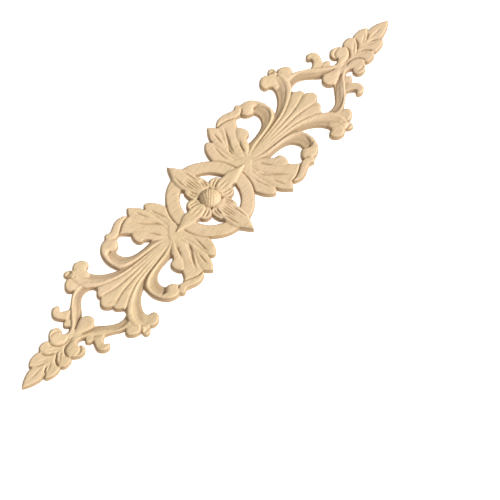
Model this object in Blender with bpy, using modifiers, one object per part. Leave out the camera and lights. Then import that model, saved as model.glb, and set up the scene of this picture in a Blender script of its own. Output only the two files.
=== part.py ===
"""A carved wooden applique, five times as long as it is wide.

It has a pierced medallion with a domed boss, and on each side of it a pair of acanthus leaves, a pair of
C scrolls, a fluted palmette, two scrolling arms and an end leaf.

It lies on its flat back, on z = 0, with its long side along X. It is alike on both sides of X and of Y, so
one quarter is modelled, and mirrored. A leaf or lobe is a plate with a closed outline, whose top slopes from
its root to its lead. A stem is a loft along its own middle line, given by stations: (x, y, width to its left,
width to its right, height), in units of about a millimetre. All of them are joined to a flat base, and what
lies inside the outline of the quarter, and outside its holes, is kept.
"""

import math

import bmesh
import bpy
import numpy as np
from mathutils import Vector
from mathutils.geometry import delaunay_2d_cdt

# Driving dimensions, in metres. The drawing is 498 units long.
LENGTH = 0.500
UNIT = LENGTH / 498.0

# Outline of one quarter, as strokes that meet at corners; each stroke is a smooth curve through its points
OUTLINE = (
    ((0, 49.2), (3, 45), (5.9, 40), (6.6, 38.6)),
    ((6.6, 38.6), (15, 36.2), (22, 32.4), (28, 27.4), (30.8, 24.3)),
    ((30.8, 24.3), (31.9, 27.8), (33.4, 32), (36.4, 36.8), (40.5, 39.7), (43.6, 38.9), (45.8, 36.4)),
    ((45.8, 36.4), (46.8, 39.6), (50, 44.4), (54.4, 48.9)),
    ((54.4, 48.9), (57.2, 46.6), (60.4, 42.2)),
    ((60.4, 42.2), (61.6, 44.6), (64.5, 46.4), (69, 47.4), (74, 46.8), (79, 44.9), (83.5, 43.3),
     (87.4, 44.8)),
    ((87.4, 44.8), (89.6, 44.2), (91.6, 42)),
    ((91.6, 42), (96, 41.6), (101.5, 39), (105.4, 34), (107.6, 28), (108, 22.5), (107, 17.4),
     (106.2, 13.8)),
    ((106.2, 13.8), (110, 15.7), (115, 18.8), (120, 23.2), (123.6, 28), (124.9, 32), (123.6, 34.6),
     (121, 35)),
    ((121, 35), (118.8, 37.2), (118.9, 41.2), (121.8, 44.7), (126.4, 46.3), (130.6, 45.3), (132.8, 43.4)),
    ((132.8, 43.4), (134.4, 45.6), (137, 47.2), (140, 47.2), (141.8, 45.4), (141.6, 42.8), (141, 40.6)),
    ((141, 40.6), (144.4, 40.7), (148.2, 39.2), (151.4, 35.9), (151.9, 32.8), (150.4, 30.4), (148.6, 29.2)),
    ((148.6, 29.2), (152, 27.5), (156, 25), (160, 22.4), (164.6, 20.1)),
    ((164.6, 20.1), (167.6, 21.5), (169.9, 23.6), (170.4, 25.8), (168.3, 27)),
    ((168.3, 27), (168.1, 28.9), (169.8, 30.7), (172.9, 31.3), (176.8, 29.6), (179.3, 26), (179, 22),
     (176.8, 18.2),
     (175.4, 15.9)),
    ((175.4, 15.9), (178.3, 15.1), (180.2, 13), (179.6, 11), (177.8, 9.3)),
    ((177.8, 9.3), (179.2, 7.4), (182, 6.5), (184.6, 7), (186.6, 8.6)),
    ((186.6, 8.6), (184.6, 10.6), (183.9, 13.4), (185.6, 16.7), (190, 18.5), (194.6, 17.2),
     (198, 14.4), (199.8, 12)),
    ((199.8, 12), (201, 14.4), (204.5, 15.4), (208.6, 15.3), (211.2, 14.2), (212.7, 11.8)),
    ((212.7, 11.8), (214.6, 13), (219, 13.3), (224, 12.7), (228, 10.9), (229.6, 8.8), (228.6, 7)),
    ((228.6, 7), (233, 7), (238, 5.8), (243, 3.9), (247, 1.7), (249, 0)),
    ((249, 0), (249, -5)),
    ((249, -5), (-4, -5)),
    ((-4, -5), (-4, 43.6)),
    ((-4, 43.6), (0, 49.2)),
)
HOLES = (
    (
        ((10.4, 24.3), (15, 21.7), (19.5, 17.8), (23, 13), (25.3, 7.8), (25.7, 6.1)),
        ((25.7, 6.1), (23.5, 6.2), (21.6, 6.6)),
        ((21.6, 6.6), (21, 9), (18.8, 11.4), (15.5, 12.4), (12.8, 12.2), (11.4, 11.4)),
        ((11.4, 11.4), (12, 14.5), (11.7, 18), (10.8, 20.6), (9.4, 21.8)),
        ((9.4, 21.8), (9.6, 23.2), (10.4, 24.3)),
    ),
    (
        ((66, 11.9), (67.6, 14), (70, 15.6), (73.4, 16.3), (75.4, 19), (75.6, 22.5), (74.6, 26),
         (72.8, 28.4)),
        ((72.8, 28.4), (75, 31.8), (78, 35)),
        ((78, 35), (81, 35.7), (84.2, 34.6)),
        ((84.2, 34.6), (86, 31.2), (89.5, 28.5), (93.8, 27.4)),
        ((93.8, 27.4), (94.4, 23.5), (92.8, 19.2), (89, 15.4), (83, 13), (76, 11.9), (70, 11.5),
         (66, 11.9)),
    ),
    (
        ((144.8, -4), (144.8, 0), (144.2, 2.4), (142, 5), (138.8, 6.9)),
        ((138.8, 6.9), (139.2, 9.4), (137.8, 12.2), (134.2, 14.8)),
        ((134.2, 14.8), (134.4, 17.4), (136, 19.6), (139.5, 20.8), (144, 20.9), (148.8, 19.3),
         (153.6, 15.5),
         (158.5, 10.7), (162.9, 6.3)),
        ((162.9, 6.3), (160, 4.8), (158, 2.2), (157.7, 0), (157.7, -4)),
        ((157.7, -4), (144.8, -4)),
    ),
)
BASE_HEIGHT = 3.2

# Medallion
RING_OUTER = 39.2
RING_INNER = 26.4
RING_HEIGHT = 4.8
RING_EDGE = 0.8
RING_STEPS = 48
DOME_RADIUS = 9.4
DOME_CENTRE = 4.6
DOME_TOP = 10.2

# Leaf-like pieces: outline, the point where it starts, the point where it ends, height at each, and doming
LONG_PETAL = (
    ((0, 49.4), (3.1, 45), (6, 40), (8.3, 34), (9.3, 28), (9.2, 23), (8.4, 17), (6, 10), (0, 6), (-6, 10),
     (-8.4, 17), (-9.2, 23), (-9.3, 28), (-8.3, 34), (-6, 40), (-3.1, 45)),
    (0, 10), (0, 49), 6.4, 6.6, 2.1, 4.6,
)
SHORT_PETAL = (
    ((45.4, 0), (40, 1.8), (35, 3.7), (30, 5.2), (25, 6.1), (20, 6.3), (14, 5), (8, 0), (14, -5),
     (20, -6.3),
     (25, -6.1), (30, -5.2), (35, -3.7), (40, -1.8)),
    (10, 0), (45, 0), 6.2, 6.0, 1.1, 3.6,
)
LONG_PETAL_LOBE = (
    ((3, 8), (8, 8.6), (11.5, 11.4), (12.4, 14.5), (12, 18.4), (10.8, 21), (8.8, 22), (6, 19), (4, 13)),
    (6, 10), (11, 20), 5.6, 5.8, 0.9, 2.6,
)
SHORT_PETAL_LOBE = (
    ((8, 3), (8.6, 8), (11.4, 11.4), (14.6, 12.8), (18.8, 11.9), (21.4, 9.2), (21.9, 6.4), (19, 4),
     (13, 3)),
    (10, 6), (20, 9), 5.4, 5.6, 0.9, 2.8,
)
LEAF_ROOT = (((34, -3), (34, 4), (38, 9), (46, 8), (53, 2), (53, -3)), (38, 0), (52, 0), 4.3, 4.7, 0.2, 2)
LEAF_FIRST_LOBE = (
    ((40, 0), (37, 10), (33, 19), (30.4, 24.4), (31.6, 28), (33.2, 32.2), (36.2, 37), (40.5, 40),
     (43.8, 39.1),
     (45.6, 36.4), (45, 30), (44.6, 22), (45.4, 12), (47, 2)),
    (43, 6), (39.5, 38), 4.3, 5.3, 1.1, 4.5,
)
LEAF_POINTED_LOBE = (
    ((47, 2), (45.4, 12), (44.9, 22), (45.2, 31), (46, 36.4), (46.4, 39.6), (49.8, 44.6), (54.4, 49.4),
     (57.6, 46.6), (60.6, 42.2), (58.4, 36), (54, 29), (50.2, 21.5), (48.6, 12), (49.4, 3)),
    (48, 8), (54, 46), 4.4, 5.4, 1.0, 4.2,
)
LEAF_BODY = (
    ((49.4, 3), (48.6, 12), (50.2, 21.5), (54, 29), (58.4, 36), (60.6, 42.6), (65, 43), (71, 41.4),
     (77, 39),
     (80, 36.6), (78, 35), (75, 31.8), (72.6, 28.2), (68, 26.4), (62, 19.6), (57, 10.6), (52.6, 2)),
    (51, 6), (72, 37), 4.5, 5.3, 1.0, 4.5,
)
LEAF_CURL = (
    ((50.5, 0), (56, 3.4), (61, 7.3), (66, 11.8), (67.8, 14), (70, 15.4), (73.6, 16), (75.8, 19),
     (76, 22.6),
     (75, 26.2), (72.8, 28.6), (69, 27.6), (64, 22.3), (59, 14), (54, 5.6)),
    (54, 4), (73, 24), 4.6, 5.6, 1.0, 4.2,
)
LEAF_FOLD = (
    ((59.8, 41.6), (61.4, 44.8), (64.5, 46.8), (69, 47.8), (74, 47.2), (79, 45.2), (83.5, 43.7),
     (87.4, 45.3),
     (90, 44.4), (91.8, 41.8), (89.6, 38.8), (86.4, 36.8), (82, 36), (77.6, 37.6), (72, 40.4), (66, 42.2)),
    (61, 43), (86, 40), 5.3, 6.0, 1.1, 2.9,
)
ARM_TIP_LOBE = (
    ((136, 37), (132, 42.6), (133.4, 45.4), (136.8, 47.7), (140.4, 47.6), (142.4, 45.4), (141.8, 42),
     (140, 38.6)),
    (138, 38), (138, 47), 4.8, 3.5, 0.2, 2,
)
ARM_SIDE_LOBE = (
    ((138, 28), (139.4, 34), (140.4, 40.4), (144.6, 41.1), (148.6, 39.6), (151.8, 36.1), (152.4, 32.6),
     (150.6, 30), (146.6, 28.4), (142, 26)),
    (140, 29), (148, 36), 4.6, 5.6, 1.3, 4,
)
HOOK = (
    ((164.6, 17), (164, 20), (167.2, 22), (169.7, 23.9), (169.9, 25.4), (167.8, 26.7), (167.7, 29.1),
     (169.6, 31.1),
     (172.9, 31.7), (177, 30), (179.7, 26.1), (179.4, 21.8), (177, 17.6), (174, 13)),
    (171, 15), (173, 29), 4.2, 5.6, 1.4, 4.2,
)
SPUR = (
    ((171, 12), (174, 15.6), (178.4, 15.5), (180.6, 13), (180, 10.6), (176.6, 8.4)),
    (174, 11), (179, 13), 4, 4.4, 0.8, 2.4,
)
BUD = (
    ((183, -0.8), (183, 0.8), (175, 3.3), (169, 5.7), (163, 6.8), (159.6, 5), (157.4, 2.2),
     (157.2, 0), (157.4, -2.2),
     (159.6, -5), (163, -6.8), (169, -5.7), (175, -3.3)),
    (182, 0), (160, 0), 4.4, 5.8, 1.3, 4.5,
)
PALMETTE_MIDDLE = (
    ((52, 0), (80, 1.2), (100, 2), (116, 2.8), (128, 4.1), (135, 5.8), (138.9, 7.2), (142.4, 5.4),
     (144.8, 2.6),
     (145.2, 0), (144.8, -2.6), (142.4, -5.4), (138.9, -7.2), (135, -5.8), (128, -4.1), (116, -2.8),
     (100, -2),
     (80, -1.2)),
    (60, 0), (140, 0), 4.4, 5.6, 0.9, 4,
)
PALMETTE_SIDE = (
    ((52, 0.4), (80, 1.4), (100, 2.2), (116, 3), (128, 4.3), (135, 6), (138.9, 7), (139.7, 9.6),
     (138, 12.6),
     (134, 15.3), (130, 14.8), (124, 12), (117, 9), (108, 6.6), (95, 5), (80, 4), (62, 2.6)),
    (60, 1), (136, 10), 4.3, 5.4, 0.7, 3.2,
)
END_SCROLL = (
    ((180, 0), (188, 1.4), (194, 2.4), (198.4, 5), (200.8, 9), (200.6, 12), (198.4, 15),
     (194.8, 17.8), (190, 19),
     (185.4, 17.2), (183.3, 13.6), (184.2, 10.4), (187, 8.6), (184.4, 6.6), (180, 5.6), (176, 4)),
    (182, 3), (197, 12), 4.4, 5.4, 0.9, 4,
)
END_THIRD = (
    ((194, -1), (199.4, 4.2), (201.3, 8.4), (200.4, 12), (201, 14.8), (204.6, 15.9), (208.8, 15.8),
     (211.7, 14.5),
     (213.2, 11.6), (211.6, 7.4), (207.8, 3.4), (203, 0.6), (199, -1)),
    (199, 1), (211, 12), 4.2, 5.3, 0.8, 3.4,
)
END_SECOND = (
    ((204, -1), (209.4, 2.8), (212.8, 7), (213.6, 11.4), (215, 13.6), (219.4, 13.8), (224.4, 13.2),
     (228.6, 11.2),
     (230.2, 8.6), (228.4, 6.2), (223.5, 4.2), (217.6, 2.2), (212, -1)),
    (208, 1), (227, 9), 4.1, 5.1, 0.8, 3.4,
)
END_TIP = (
    ((212, 0), (219, 2.7), (225, 4.7), (229, 7), (233, 7.5), (238.4, 6.2), (243.4, 4.2), (247.2, 1.9),
     (249.8, 0),
     (247.2, -1.9), (243.4, -4.2), (238.4, -6.2), (233, -7.5), (229, -7), (225, -4.7), (219, -2.7)),
    (216, 0), (246, 0), 4.4, 4.4, 1.1, 4.5,
)

# Stems, which are bands along their middle lines
SCROLL_STEM = (
    (52, 2.2, 1.2, 1.2, 4.6), (60, 6, 2, 2, 4.5), (67, 8.6, 3, 3, 4.4), (76, 9.6, 2.6, 2.6, 4.4),
    (86, 11.2, 3, 3, 4.4),
    (92.5, 13.6, 4, 4, 4.4), (97.3, 16, 5.4, 5.4, 4.4), (100.5, 20.2, 7.2, 7, 4.4),
    (101.1, 24.7, 7.4, 7.2, 4.4),
    (100.4, 29.5, 7, 7, 4.4),
)
SCROLL_EYE = (
    (54, 2.2, 0.8, 0.8, 4.6), (66, 6.2, 1, 1, 4.8), (78, 7.8, 1.1, 1.1, 4.9), (89, 9.4, 1.2, 1.3, 5),
    (97, 11.6, 1.4, 1.5, 5.1), (103, 15.4, 1.7, 1.8, 5.2), (106, 20.6, 2, 2.2, 5.3),
    (105.8, 27, 2.4, 2.5, 5.5),
    (103.2, 32.6, 3.2, 3.3, 5.7), (98.2, 36.2, 5, 5, 6.1), (91.8, 35.4, 6.6, 6.7, 6.3),
)
ARM = (
    (62, 3.4, 1, 1, 4.4), (85, 6.4, 1.3, 1.3, 4.4), (98, 8.4, 2.4, 2.4, 4.3), (109, 11.6, 3.9, 3.9, 4.3),
    (116.8, 15.4, 4.3, 4.2, 4.3), (123.5, 20.1, 5, 5, 4.3), (128.4, 25.4, 5.8, 5.8, 4.4),
    (131, 30.8, 6.6, 6.4, 4.5),
    (130.7, 36, 7.4, 7, 4.7), (128.6, 40.5, 6, 6, 4.9),
)
ARM_ROLL = (
    ((125.4, 30), (125.4, 33.4), (122.6, 35.2), (120.2, 35.6), (118.2, 38), (118.6, 41.8), (121.6, 45.3),
     (126.4, 46.9), (131, 45.8), (133.4, 43), (135.6, 38), (134, 32), (130, 28)),
    (129, 30), (124.5, 43), 4.2, 5.6, 1.5, 4.2,
)
ARM_RIDGE = (
    (84, 4.8, 0.8, 0.8, 4.6), (98, 6.4, 1.1, 1.1, 4.8), (109, 8.6, 1.5, 1.5, 5), (118, 11.6, 1.8, 1.8, 5.1),
    (126, 15.6, 2.1, 2.1, 5.2), (132.4, 20.2, 2.4, 2.4, 5.3), (136.8, 25.2, 2.6, 2.6, 5.4),
    (139, 31, 2.5, 2.4, 5.4),
    (139.2, 36.4, 2, 2, 5.3), (137.6, 41, 1.2, 1.2, 5),
)
THIN_STEM = (
    (137, 23.6, 3.4, 3.4, 4.7), (143.5, 25.2, 4.4, 4.6, 4.9), (150.3, 23.5, 4.9, 5, 5),
    (156, 19.5, 5, 5, 5),
    (161.6, 13.9, 5, 5, 5), (166.5, 10.2, 4.8, 4.8, 4.9), (172, 6.2, 3.8, 3.8, 4.8),
    (178, 3.6, 2.8, 2.8, 4.7),
    (186, 1.4, 1.4, 1.4, 4.6),
)

# How far the pieces reach below the back before the outline cuts them, and how high the outline reaches
BELOW = 2.0
ABOVE = 14.0

# How far a plate's outline is moved outwards, so that neighbours overlap, and its part of the drop there
OUTSET = 0.3
EDGE_PART = 0.6

# Steps between two points of the quarter's outline
OUTLINE_STEPS = 1

# The share of the faces that stays when the slivers left by the joins are merged
KEPT_FACES = 0.72

# Cross sections, from the right edge to the left: (place across, part of the rise)
CROWN = ((-1, 0), (-0.45, 0.95), (0.45, 0.95), (1, 0))
DISH = ((-1, 1), (0, 0), (1, 1))
SWEEP = ((-1, 0), (-0.4, 0), (0.55, 1), (1, 0.3))


def clear_scene():
    for obj in list(bpy.data.objects):
        bpy.data.objects.remove(obj, do_unlink=True)


def new_collection(name):
    collection = bpy.data.collections.new(name)
    bpy.context.scene.collection.children.link(collection)
    return collection


def wood():
    material = bpy.data.materials.new("pale_wood")
    material.use_nodes = True
    shader = material.node_tree.nodes["Principled BSDF"]
    shader.inputs["Base Color"].default_value = (0.72, 0.50, 0.30, 1)
    shader.inputs["Roughness"].default_value = 0.6
    shader.inputs["Metallic"].default_value = 0
    return material


def smooth_rows(stations, steps):
    """Rows of a smooth curve through the stations, with the widths and the height carried along it."""
    rows = np.array(stations, float)
    padded = np.vstack([2 * rows[0] - rows[1], rows, 2 * rows[-1] - rows[-2]])
    found = []
    for k in range(len(rows) - 1):
        a, b, c, d = padded[k : k + 4]
        for t in np.arange(steps) / steps:
            cubic = (2 * a - 5 * b + 4 * c - d) * t**2 + (3 * b - 3 * c + d - a) * t**3
            found.append(b + 0.5 * ((c - a) * t + cubic))
    found.append(rows[-1])
    return np.array(found)


def with_cap(rows, cap, rise, angles):
    """The rows with a round end: cap is its length, and the rise falls to nothing towards it."""
    last = rows[-1]
    along = last[:2] - rows[-2][:2]
    along /= np.linalg.norm(along)
    rises = [rise] * len(rows)
    added = []
    for angle in angles:
        row = last.copy()
        row[:2] += along * cap * math.sin(math.radians(angle))
        row[2:4] *= math.cos(math.radians(angle))
        rises.append(rise * math.cos(math.radians(angle)))
        row[4] += rises[-1] - rise
        added.append(row)
    return np.vstack([rows, *added]), rises


def loft(name, stations, collection, rise=2.0, section=CROWN, steps=1, cap=0.0, angles=(45, 80)):
    """A closed solid along the stations, rise higher in its middle than at its walls."""
    rows = smooth_rows(stations, steps)
    rises = [rise] * len(rows)
    if cap:
        rows, rises = with_cap(rows, cap, rise, angles)
    along = np.gradient(rows[:, :2], axis=0)
    along /= np.linalg.norm(along, axis=1)[:, None]
    built = bmesh.new()
    rings = []
    for row, (dx, dy), here in zip(rows, along, rises):
        x, y, left, right, top = row
        ring = []
        places = [(-1, -BELOW)] + [(s, top - here + here * part) for s, part in section] + [(1, -BELOW)]
        for across, height in places:
            reach = across * (left if across > 0 else right)
            ring.append(built.verts.new(Vector((x - dy * reach, y + dx * reach, height)) * UNIT))
        rings.append(ring)
    for first, second in zip(rings, rings[1:]):
        for k in range(len(first)):
            after = (k + 1) % len(first)
            built.faces.new((first[k], first[after], second[after], second[k]))
    built.faces.new(rings[0][::-1])
    built.faces.new(rings[-1])
    bmesh.ops.recalc_face_normals(built, faces=built.faces)
    mesh = bpy.data.meshes.new(name)
    built.to_mesh(mesh)
    built.free()
    obj = bpy.data.objects.new(name, mesh)
    collection.objects.link(obj)
    return obj


def as_mesh(obj, collection):
    """The mesh of a curve, or of an object with its modifiers, in the object's place."""
    bpy.context.view_layer.update()
    graph = bpy.context.evaluated_depsgraph_get()
    mesh = bpy.data.meshes.new_from_object(obj.evaluated_get(graph))
    welded = bmesh.new()
    welded.from_mesh(mesh)
    bmesh.ops.remove_doubles(welded, verts=welded.verts, dist=1e-5)
    bmesh.ops.recalc_face_normals(welded, faces=welded.faces)
    welded.to_mesh(mesh)
    welded.free()
    made = bpy.data.objects.new(obj.name + "_solid", mesh)
    made.matrix_world = obj.matrix_world.copy()
    collection.objects.link(made)
    bpy.data.objects.remove(obj, do_unlink=True)
    return made


def ring(collection):
    """The flat ring, turned from its section, with small chamfers at the top."""
    inner, outer, edge = RING_INNER, RING_OUTER, RING_EDGE
    profile = ((outer - edge, RING_HEIGHT), (outer, RING_HEIGHT - edge), (outer, -BELOW), (inner, -BELOW),
               (inner, RING_HEIGHT - edge), (inner + edge, RING_HEIGHT))
    mesh = bpy.data.meshes.new("ring_section")
    count = len(profile)
    edges = [(k, (k + 1) % count) for k in range(count)]
    mesh.from_pydata([(r * UNIT, 0, z * UNIT) for r, z in profile], edges, [])
    turned = bpy.data.objects.new("ring", mesh)
    collection.objects.link(turned)
    screw = turned.modifiers.new("Turned", "SCREW")
    screw.steps = screw.render_steps = RING_STEPS
    screw.use_merge_vertices = True
    screw.merge_threshold = 1e-5
    return as_mesh(turned, collection)


def dome(collection):
    bpy.ops.mesh.primitive_uv_sphere_add(segments=20, ring_count=10, radius=DOME_RADIUS * UNIT)
    ball = bpy.context.object
    ball.name = "dome"
    ball.scale.z = (DOME_TOP - DOME_CENTRE) / DOME_RADIUS
    ball.location.z = DOME_CENTRE * UNIT
    for owner in list(ball.users_collection):
        owner.objects.unlink(ball)
    collection.objects.link(ball)
    return ball


def stroke_line(strokes, steps):
    """The closed line along the strokes, each a smooth curve between two corners."""
    return np.vstack([smooth_rows(stroke, steps)[:-1] for stroke in strokes])


def outline_solid(name, lines, collection):
    """An upright solid inside the first line and outside the others, from the back to above the relief."""
    curve = bpy.data.curves.new(name, "CURVE")
    curve.dimensions = "2D"
    curve.fill_mode = "BOTH"
    curve.extrude = ABOVE / 2 * UNIT
    for line in lines:
        spline = curve.splines.new("POLY")
        spline.points.add(len(line) - 1)
        for point, (x, y) in zip(spline.points, line):
            point.co = (x * UNIT, y * UNIT, 0, 1)
        spline.use_cyclic_u = True
    upright = bpy.data.objects.new(name, curve)
    upright.location.z = ABOVE / 2 * UNIT
    collection.objects.link(upright)
    return as_mesh(upright, collection)


def base(collection):
    """A slab under the whole quarter, up to the height of the base."""
    bpy.ops.mesh.primitive_cube_add(size=1)
    slab = bpy.context.object
    slab.name = "base"
    for vertex in slab.data.vertices:
        vertex.co.x = (-6 if vertex.co.x < 0 else 252) * UNIT
        vertex.co.y = (-6 if vertex.co.y < 0 else 53) * UNIT
        vertex.co.z = (-BELOW if vertex.co.z < 0 else BASE_HEIGHT) * UNIT
    for owner in list(slab.users_collection):
        owner.objects.unlink(slab)
    collection.objects.link(slab)
    return slab


def moved_out(outline):
    """The outline's points, moved outwards by the outset."""
    points = np.array(outline, float)
    along = np.roll(points, -1, axis=0) - np.roll(points, 1, axis=0)
    along /= np.linalg.norm(along, axis=1)[:, None]
    area = points[:, 0] @ np.roll(points[:, 1], -1) - points[:, 1] @ np.roll(points[:, 0], -1)
    return points + math.copysign(OUTSET, area) * np.column_stack([along[:, 1], -along[:, 0]]), area > 0


def depth_inside(points, x, y):
    """The distance from the place to the closed line, above nought inside it and below nought outside."""
    nearest = 1e9
    within = False
    for a, b in zip(points, np.roll(points, -1, axis=0)):
        d = b - a
        t = min(max(((x - a[0]) * d[0] + (y - a[1]) * d[1]) / (d @ d), 0), 1)
        nearest = min(nearest, math.hypot(x - a[0] - t * d[0], y - a[1] - t * d[1]))
        if (a[1] > y) != (b[1] > y) and x < a[0] + (y - a[1]) * d[0] / d[1]:
            within = not within
    return nearest if within else -nearest


def plate(name, shape, collection):
    """A closed solid with the outline, highest away from its edge and sloping from its root to its lead."""
    outline, root, lead, low, high, drop, edge = shape
    points, turns_left = moved_out(outline)
    if not turns_left:
        points = points[::-1]
    dx, dy = lead[0] - root[0], lead[1] - root[1]

    def slope(x, y):
        t = ((x - root[0]) * dx + (y - root[1]) * dy) / (dx * dx + dy * dy)
        return low + (high - low) * min(max(t, 0), 1)

    places = [Vector(point) for point in points]
    tops = [slope(x, y) - EDGE_PART * drop for x, y in points]
    count = len(points)
    pitch = max(edge, 4.0)
    low_x, low_y = points.min(axis=0)
    high_x, high_y = points.max(axis=0)
    for x in np.arange(low_x + pitch / 2, high_x, pitch):
        for y in np.arange(low_y + pitch / 2, high_y, pitch):
            inside = depth_inside(points, x, y)
            if inside < 0.42 * pitch:
                continue
            rim = min(max(1 - inside / edge, 0), 1)
            places.append(Vector((x, y)))
            tops.append(slope(x, y) - drop * (1 - math.sqrt(1 - rim * rim)))
    ring_edges = [(k, (k + 1) % count) for k in range(count)]
    made, _, triangles, originals, _, _ = delaunay_2d_cdt(places, ring_edges, [], 1, 1e-6)
    built = bmesh.new()
    upper = {}
    for index, source in enumerate(originals):
        if source:
            x, y = made[index]
            upper[index] = built.verts.new(Vector((x, y, tops[source[0]])) * UNIT)
    order = {originals[index][0]: vertex for index, vertex in upper.items()}
    lower = [built.verts.new(Vector((x, y, -BELOW)) * UNIT) for x, y in points]
    for triangle in triangles:
        built.faces.new([upper[index] for index in triangle])
    for k in range(count):
        after = (k + 1) % count
        built.faces.new((order[k], lower[k], lower[after], order[after]))
    built.faces.new(lower[::-1])
    bmesh.ops.recalc_face_normals(built, faces=built.faces)
    mesh = bpy.data.meshes.new(name)
    built.to_mesh(mesh)
    built.free()
    obj = bpy.data.objects.new(name, mesh)
    collection.objects.link(obj)
    return obj


def medallion(collection):
    ring(collection)
    dome(collection)
    plate("long_petal", LONG_PETAL, collection)
    plate("short_petal", SHORT_PETAL, collection)
    plate("long_petal_lobe", LONG_PETAL_LOBE, collection)
    plate("short_petal_lobe", SHORT_PETAL_LOBE, collection)


def acanthus_leaf(collection):
    plate("leaf_root", LEAF_ROOT, collection)
    plate("leaf_first_lobe", LEAF_FIRST_LOBE, collection)
    plate("leaf_pointed_lobe", LEAF_POINTED_LOBE, collection)
    plate("leaf_curl", LEAF_CURL, collection)
    plate("leaf_body", LEAF_BODY, collection)
    plate("leaf_fold", LEAF_FOLD, collection)


def c_scroll(collection):
    loft("scroll_stem", SCROLL_STEM, collection, rise=0.8, section=DISH)
    loft("scroll_eye", SCROLL_EYE, collection, rise=1.7, cap=6.4, angles=(28, 56, 84))


def large_arm(collection):
    loft("arm", ARM, collection, rise=0.9, section=DISH)
    plate("arm_roll", ARM_ROLL, collection)
    loft("arm_ridge", ARM_RIDGE, collection, rise=1.1)
    plate("arm_tip_lobe", ARM_TIP_LOBE, collection)
    plate("arm_side_lobe", ARM_SIDE_LOBE, collection)


def thin_stem(collection):
    loft("thin_stem", THIN_STEM, collection, rise=1.3, section=SWEEP)
    plate("spur", SPUR, collection)
    plate("hook", HOOK, collection)
    plate("bud", BUD, collection)


def palmette(collection):
    plate("palmette_side", PALMETTE_SIDE, collection)
    plate("palmette_middle", PALMETTE_MIDDLE, collection)


def end_leaf(collection):
    plate("end_tip", END_TIP, collection)
    plate("end_second", END_SECOND, collection)
    plate("end_third", END_THIRD, collection)
    plate("end_scroll", END_SCROLL, collection)


def hide(collection):
    for obj in collection.objects:
        obj.hide_render = True
        obj.display_type = "WIRE"


def main():
    clear_scene()
    parts = new_collection("wood_moulding")
    relief = new_collection("relief_solids")
    cutters = new_collection("outline")

    applique = base(parts)
    applique.name = applique.data.name = "carved_applique"
    applique.data.materials.append(wood())

    medallion(relief)
    acanthus_leaf(relief)
    c_scroll(relief)
    large_arm(relief)
    thin_stem(relief)
    palmette(relief)
    end_leaf(relief)
    lines = [stroke_line(strokes, OUTLINE_STEPS) for strokes in (OUTLINE, *HOLES)]
    kept = outline_solid("quarter_outline", lines, cutters)
    hide(relief)
    hide(cutters)

    joined = applique.modifiers.new("Relief", "BOOLEAN")
    joined.operation = "UNION"
    joined.operand_type = "COLLECTION"
    joined.collection = relief
    joined.use_self = True
    within = applique.modifiers.new("Outline", "BOOLEAN")
    within.operation = "INTERSECT"
    within.object = kept
    merged = applique.modifiers.new("Slivers merged", "DECIMATE")
    merged.ratio = KEPT_FACES
    mirror = applique.modifiers.new("Four quarters", "MIRROR")
    mirror.use_axis = (True, True, False)
    mirror.use_bisect_axis = (True, True, False)
    mirror.bisect_threshold = 1e-7
    mirror.merge_threshold = 1e-5


main()
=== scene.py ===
"""Looks of the carved wooden applique: a fine mesh of its relief, bare wood, a white floor and soft light.

The relief is worked out on a fine square grid, inside the outline of one quarter. A leaf or lobe has a closed
outline and a top that slopes from its root to its lead. A stem is a band along its own middle line, given by
stations: (x, y, width to its left, width to its right, height), in units of about a millimetre. The highest
element wins at each point, and cuts, such as veins and creases, are taken out of the result.
"""

import math

import bpy
import numpy as np
from mathutils import Matrix, Vector
from mathutils.geometry import delaunay_2d_cdt


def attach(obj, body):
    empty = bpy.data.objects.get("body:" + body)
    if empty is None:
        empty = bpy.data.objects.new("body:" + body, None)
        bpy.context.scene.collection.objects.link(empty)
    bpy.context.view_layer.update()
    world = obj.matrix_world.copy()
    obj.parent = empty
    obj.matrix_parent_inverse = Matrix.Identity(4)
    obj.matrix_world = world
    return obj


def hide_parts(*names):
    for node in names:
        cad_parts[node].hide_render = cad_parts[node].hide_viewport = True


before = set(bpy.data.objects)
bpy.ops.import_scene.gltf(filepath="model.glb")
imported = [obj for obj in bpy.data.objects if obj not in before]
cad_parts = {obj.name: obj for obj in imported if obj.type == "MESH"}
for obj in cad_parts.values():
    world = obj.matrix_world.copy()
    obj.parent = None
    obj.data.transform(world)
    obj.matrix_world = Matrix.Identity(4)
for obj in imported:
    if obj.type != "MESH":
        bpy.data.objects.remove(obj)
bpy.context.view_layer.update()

# The drawing is 498 units long, and stands for 0.5 m
UNIT = 0.500 / 498.0
GRID = 0.62
HALF_X, HALF_Y = 250.5, 50.6

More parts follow.
